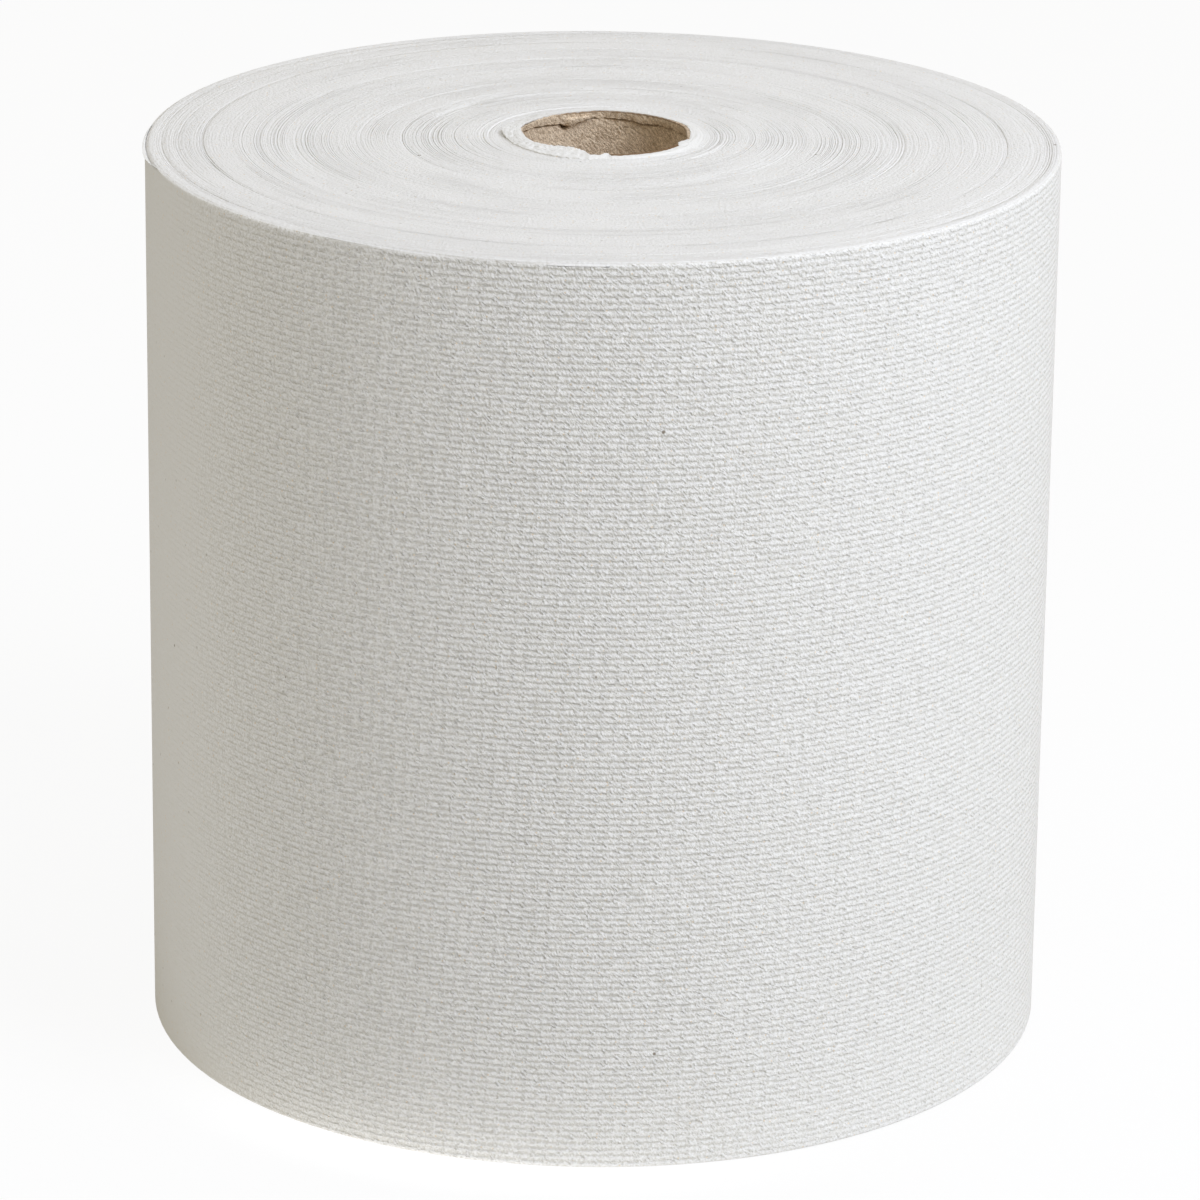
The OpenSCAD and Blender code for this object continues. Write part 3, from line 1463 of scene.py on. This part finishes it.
        # painted shade in the hole of the tear, and the pale torn flap
        mark = np.maximum(mark, np.minimum(at_hole * 1.3, 1.0)) - 0.7 * flap * (mark < 0.2)
        return around(radius, angle, height), mark


# Studio


@dataclass(frozen=True)
class Lamp:
    """One soft lamp, placed by its direction from the roll.

    Attributes:
        name: name of the lamp.
        turn: angle in degrees from the right, towards the back.
        tilt: angle in degrees above the level.
        distance: distance from the roll.
        size: diameter of the lamp.
        power: power in watts.
        colour: colour of its light.
    """

    name: str
    turn: float
    tilt: float
    distance: float
    size: float
    power: float
    colour: tuple[float, float, float]

    def build(self, aim: Vector) -> None:
        """Hangs the lamp and points it at a place.

        Args:
            aim: the place.
        """
        data = bpy.data.lights.new(self.name, "AREA")
        data.shape, data.size = "DISK", self.size
        data.energy, data.color = self.power, self.colour
        turn, tilt = math.radians(self.turn), math.radians(self.tilt)
        level = math.cos(tilt)
        away = Vector((math.cos(turn) * level, math.sin(turn) * level, math.sin(tilt)))
        lamp = bpy.data.objects.new(self.name, data)
        lamp.location = aim + away * self.distance
        lamp.rotation_euler = away.to_track_quat("Z", "Y").to_euler()
        bpy.context.scene.collection.objects.link(lamp)


@dataclass(frozen=True)
class Viewpoint:
    """The photograph's camera.

    Attributes:
        lens: focal length in millimetres.
        sensor: width of the sensor in millimetres.
        distance: distance from the middle of the upper end.
        height: angle in degrees at which it looks down on that point.
        pitch: how far in degrees it is then tilted down.
        yaw: how far in degrees it is turned to the right.
        roll: how far in degrees it is rolled.
    """

    lens: float = 189.45
    sensor: float = 36.0
    distance: float = 1.3996
    height: float = 14.66
    pitch: float = 4.178
    yaw: float = 0.015
    roll: float = 0.686

    def build(self, target: Vector) -> None:
        """Makes the camera.

        Args:
            target: middle of the upper end.
        """
        rise = math.radians(self.height)
        place = target + self.distance * Vector((0, -math.cos(rise), math.sin(rise)))
        ahead = (target - place).normalized()
        right = Vector((1, 0, 0))
        up = right.cross(ahead)
        yaw, pitch, roll = (math.radians(a) for a in (self.yaw, self.pitch, self.roll))
        ahead = ahead * math.cos(yaw) + right * math.sin(yaw)
        right = ahead.cross(up)
        ahead, up = (
            ahead * math.cos(pitch) - up * math.sin(pitch),
            up * math.cos(pitch) + ahead * math.sin(pitch),
        )
        right, up = (
            right * math.cos(roll) + up * math.sin(roll),
            up * math.cos(roll) - right * math.sin(roll),
        )
        data = bpy.data.cameras.new("photo_view")
        data.lens, data.sensor_width, data.clip_end = self.lens, self.sensor, 50.0
        camera = bpy.data.objects.new("photo_view", data)
        turned = Matrix((right, up, -ahead)).transposed()
        camera.matrix_world = Matrix.Translation(place) @ turned.to_4x4()
        bpy.context.scene.collection.objects.link(camera)
        bpy.context.scene.camera = camera


@dataclass
class Studio:
    """Pale floor, white surround and soft lamps.

    Attributes:
        form: sizes that the pieces share.
        floor_size: side of the floor.
        floor_tone: brightness of the floor under the lamps.
        whiteness: share of plain white in the floor that the camera sees.
        surround: strength of the light from all round.
        halo: how far the floor's glow reaches beyond the roll's foot.
        halo_strength: strength of that glow.
        halo_at: direction from the front, to the right, where it is brightest.
        halo_half: angle over which it falls off.
        tone: colour of the light from all round.
        lamps: lamps round the roll.
    """

    form: RollForm
    floor_size: float = 12.0
    floor_tone: float = 0.88
    whiteness: float = 0.9
    surround: float = 0.49
    halo: float = 0.022
    halo_strength: float = 0.65
    halo_at: float = math.radians(-24)
    halo_half: float = math.radians(36)
    tone: tuple[float, float, float] = (1.0, 0.932, 0.775)
    lamps: tuple[Lamp, ...] = (
        Lamp("key", -39, 40, distance=2.0, size=1.1, power=28.4, colour=(0.80, 0.86, 1.0)),
        Lamp("overhead", 90, 86, distance=2.2, size=1.6, power=10.6, colour=(0.76, 0.83, 1.0)),
    )

    def build(self) -> None:
        """Builds the floor, the surround and the lamps."""
        self.build_floor()
        self.build_surround()
        aim = Vector((0, 0, self.form.width / 2))
        for lamp in self.lamps:
            lamp.build(aim)

    def build_floor(self) -> None:
        """White floor that still shows the roll's soft shadow."""
        half = self.floor_size / 2
        square = [(-half, -half, 0), (half, -half, 0), (half, half, 0), (-half, half, 0)]
        mesh = bpy.data.meshes.new("floor")
        mesh.from_pydata(square, [], [(0, 1, 2, 3)])
        floor = bpy.data.objects.new("floor", mesh)
        shader = Shader("pale_floor")
        grey = (self.floor_tone, self.floor_tone, self.floor_tone, 1)
        shader.set(Base_Color=grey, Roughness=1.0, Specular_IOR_Level=0.0)
        seen = shader.node("ShaderNodeLightPath", output="Is Camera Ray")
        for ray in ("Is Glossy Ray", "Is Transmission Ray"):
            seen = seen.larger(shader.node("ShaderNodeLightPath", output=ray))
        glow = shader.node("ShaderNodeEmission", inputs={"Color": (1, 1, 1, 1), "Strength": 1.0})
        body = Wire(shader, shader.surface.outputs[0])
        x, y, _ = shader.place()
        away = (x * x + y * y).root() - self.form.radius
        near = (1.0 - away.ease(0.0, self.halo)) * away.ease(-0.002, 0.0)
        near = near * (x.atan2(y * -1.0) - self.halo_at).bell(self.halo_half)
        halo = shader.mix(near, (0, 0, 0), (1, 1, 1))
        shader.set(Emission_Color=halo, Emission_Strength=self.halo_strength)
        share = seen * self.whiteness
        mixed = shader.node("ShaderNodeMixShader", inputs={0: share, 1: body, 2: glow})
        shader.feed(shader.tree.nodes["Material Output"].inputs["Surface"], mixed)
        mesh.materials.append(shader.material)
        bpy.context.scene.collection.objects.link(floor)

    def build_surround(self) -> None:
        """A world that looks white and lights the roll softly."""
        world = bpy.data.worlds.new("surround")
        world.use_nodes = True
        bpy.context.scene.world = world
        nodes, links = world.node_tree.nodes, world.node_tree.links
        shown, path = nodes.new("ShaderNodeBackground"), nodes.new("ShaderNodeLightPath")
        light = nodes["Background"]
        light.inputs["Color"].default_value = (*self.tone, 1)
        light.inputs["Strength"].default_value = self.surround
        shown.inputs["Color"].default_value = (1, 1, 1, 1)
        mix = nodes.new("ShaderNodeMixShader")
        links.new(path.outputs["Is Camera Ray"], mix.inputs[0])
        links.new(light.outputs[0], mix.inputs[1])
        links.new(shown.outputs[0], mix.inputs[2])
        links.new(mix.outputs[0], nodes["World Output"].inputs["Surface"])


# The whole roll


def keep(piece: bpy.types.Object, node: str) -> None:
    """Rides a piece on the roll, in place of the node that it shows.

    Args:
        piece: the piece.
        node: name of the node that it takes the place of.
    """
    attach(piece, ROOT)
    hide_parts(node)
    LOG.info("%s: %d faces", piece.name, len(piece.data.polygons))


def main() -> None:
    """Builds the roll and its studio."""
    logging.basicConfig(level=logging.INFO, format="%(relativeCreated)d %(message)s")
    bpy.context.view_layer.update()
    bpy.context.scene.view_settings.view_transform = "Standard"
    form = RollForm()
    Viewpoint().build(Vector((0, 0, form.width)))
    keep(OuterTurn(form).build(), WEB_NODE)
    keep(WoundTurns(form).build(), WEB_NODE)
    keep(InnerCollar(form).build(), WEB_NODE)
    keep(BoardCore(form).build(), CORE_NODE)
    Studio(form).build()


if __name__ == "__main__":
    main()
